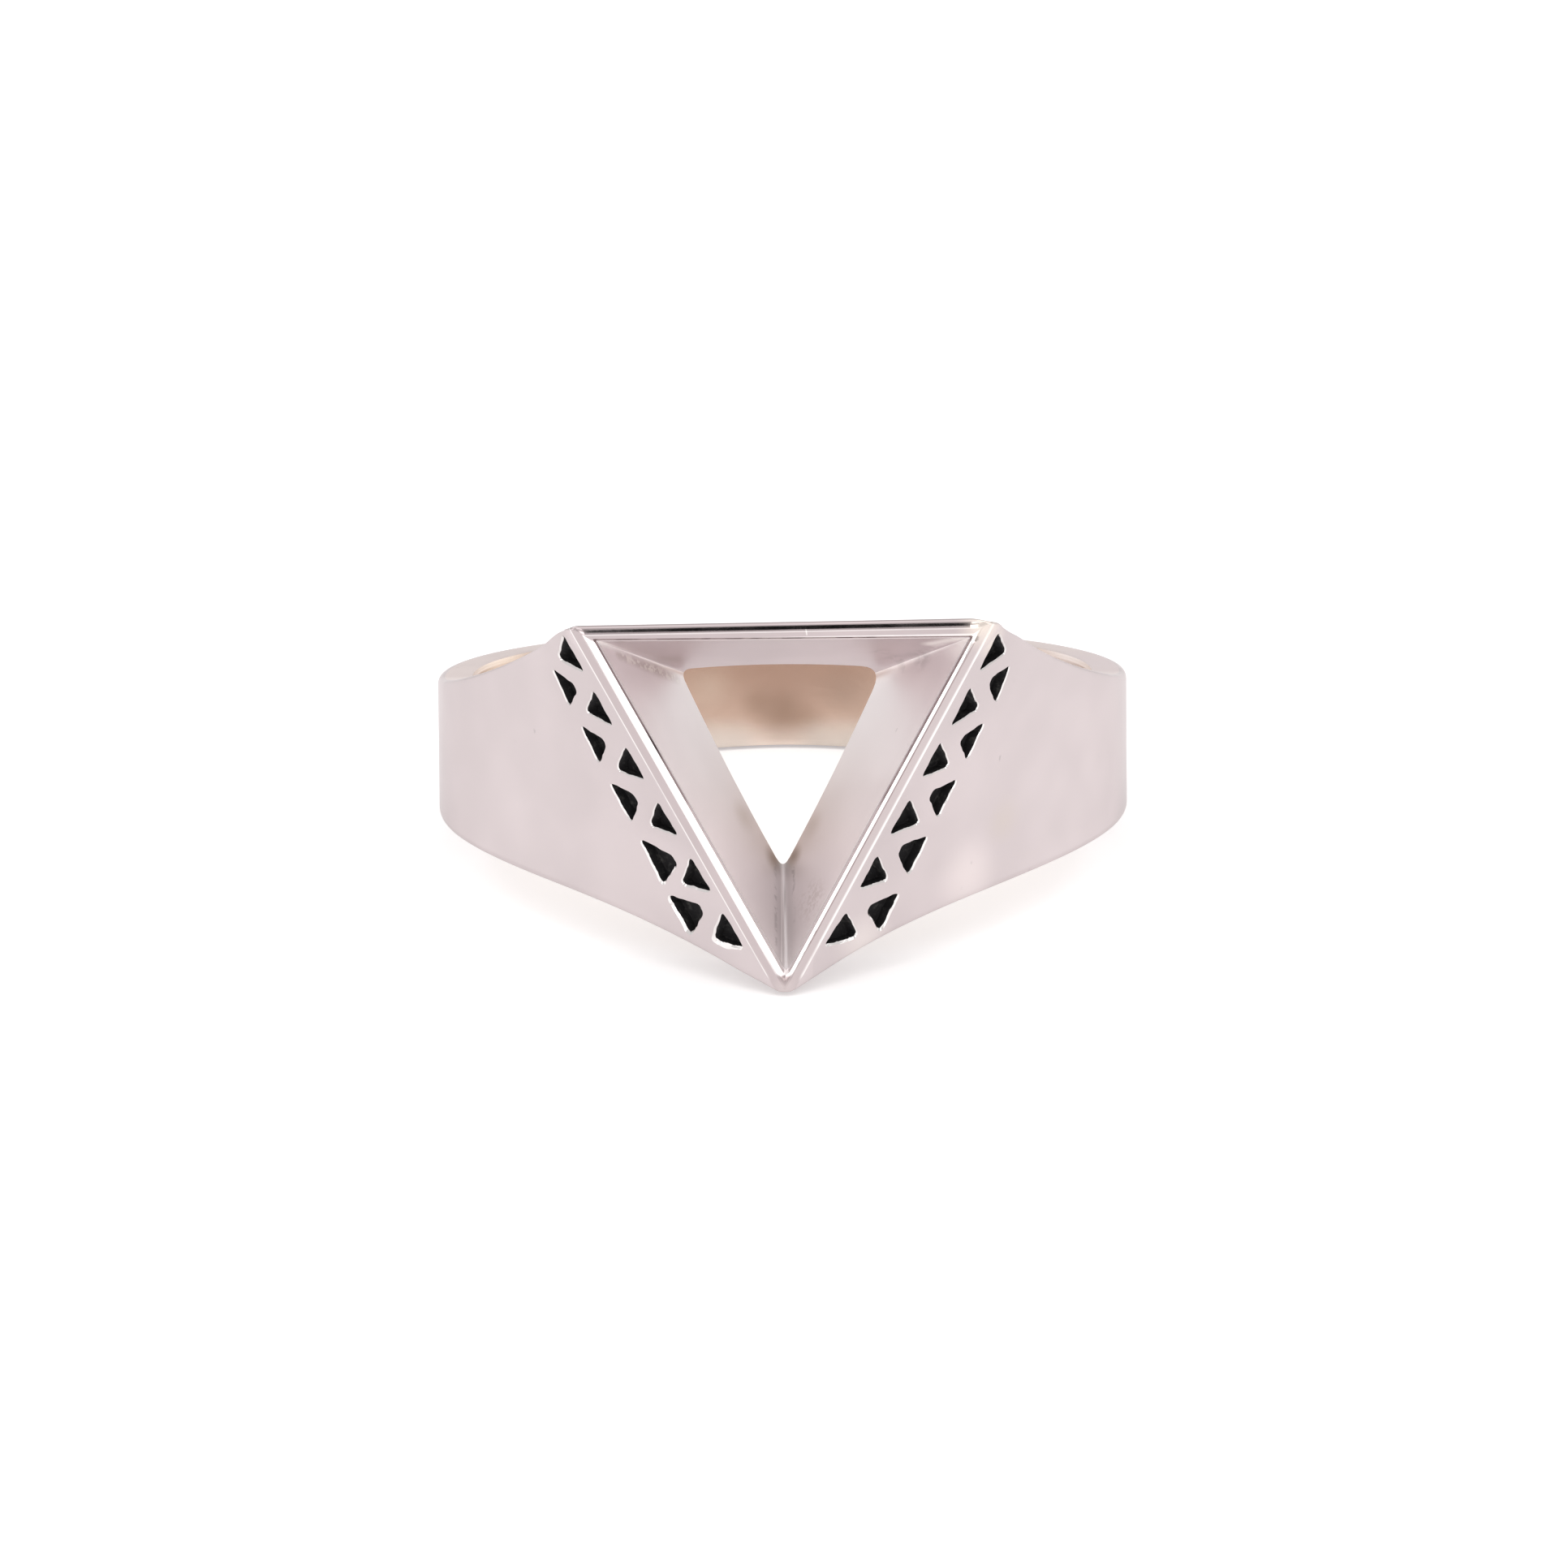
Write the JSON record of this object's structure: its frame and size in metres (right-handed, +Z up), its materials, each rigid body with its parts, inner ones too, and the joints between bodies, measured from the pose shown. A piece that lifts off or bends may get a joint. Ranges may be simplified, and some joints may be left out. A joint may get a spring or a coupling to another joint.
{
  "type": "triangle ring",
  "caption": "Finger ring with a flat triangular head: an open funnel down to the finger hole, and rows of small triangular recesses along its long edges.",
  "frame": {"origin": "middle of the bounding box's base, on the surface that the ring lies on", "axes": "+X across the finger hole, +Y from the triangular face to the back of the band, +Z up; the finger hole's axis leans 9.6 degrees from +Z towards +Y"},
  "size_m": [0.0204, 0.023, 0.0108],
  "materials": {
    "silver": "polished cast silver, with blackened recesses"
  },
  "bodies": {
    "root": {"ring": "silver"}
  },
  "joints": []
}
